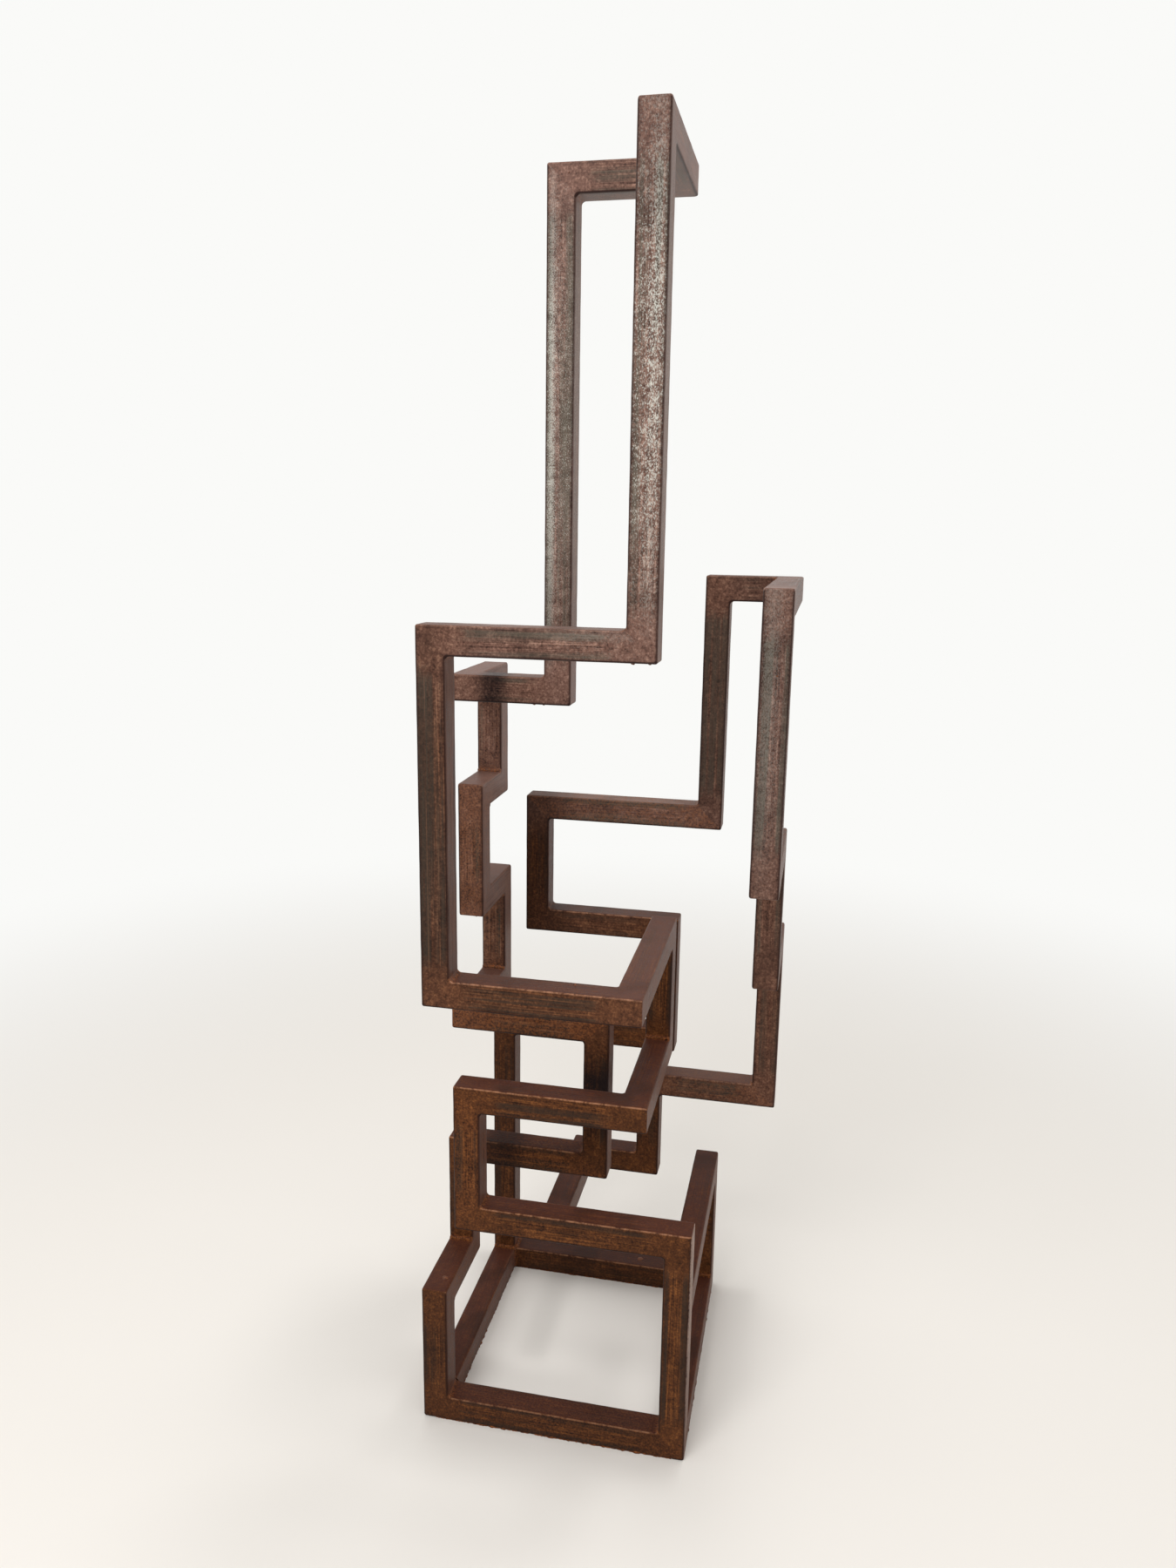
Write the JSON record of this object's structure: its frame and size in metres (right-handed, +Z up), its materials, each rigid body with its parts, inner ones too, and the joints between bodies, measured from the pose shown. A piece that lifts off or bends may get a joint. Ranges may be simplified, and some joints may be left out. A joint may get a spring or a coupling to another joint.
{
  "type": "abstract metal sculpture",
  "caption": "Tall free-standing abstract sculpture of rusted square steel tube, turning through right-angled welded corners in interlaced runs above an open base frame.",
  "frame": {"origin": "on the floor, under the middle of the whole piece", "axes": "+Z up, front facing -Y, the tall reach on the +X side"},
  "size_m": [0.507, 0.501, 1.837],
  "materials": {
    "brown_rust": "mottled brown rust, matt",
    "dark_rust": "dark maroon rust, matt",
    "grey_rust": "thin rust over grey mill scale, matt"
  },
  "bodies": {
    "root": {"base_front_rail": "brown_rust", "front_right_post": "brown_rust", "front_low_bar": "brown_rust", "front_riser": "brown_rust", "front_middle_bar": "brown_rust", "lower_link": "brown_rust", "link_riser": "brown_rust", "upper_link": "brown_rust", "front_upper_bar": "brown_rust", "tall_riser": "brown_rust", "high_bar": "grey_rust", "mast": "grey_rust", "mast_top_link": "grey_rust", "mast_top_bar": "grey_rust", "long_drop": "grey_rust", "step_top_bar": "grey_rust", "step_one_link": "dark_rust", "step_one_drop": "brown_rust", "step_two_link": "dark_rust", "step_two_drop": "brown_rust", "step_three_link": "dark_rust", "step_three_drop": "brown_rust", "step_four_link": "dark_rust", "inner_bar": "brown_rust", "inner_post": "brown_rust", "inner_low_bar": "brown_rust", "inner_left_post": "brown_rust", "left_link": "dark_rust", "front_left_post": "brown_rust", "base_left_rail": "dark_rust", "base_back_rail": "dark_rust", "base_right_rail": "dark_rust", "back_right_post": "dark_rust", "right_side_bar": "dark_rust", "back_left_post": "dark_rust", "back_low_bar": "dark_rust", "back_riser": "dark_rust", "back_middle_bar": "dark_rust", "back_left_drop": "dark_rust", "back_upper_bar": "dark_rust", "back_high_drop": "grey_rust", "reach_top_bar": "grey_rust", "reach_top_link": "grey_rust", "reach_tall_drop": "grey_rust", "reach_upper_link": "dark_rust", "reach_middle_drop": "dark_rust", "reach_lower_link": "dark_rust", "reach_low_drop": "dark_rust", "reach_low_bar": "dark_rust", "low_drop": "dark_rust", "low_bar": "dark_rust", "low_end_link": "dark_rust"}
  },
  "joints": []
}
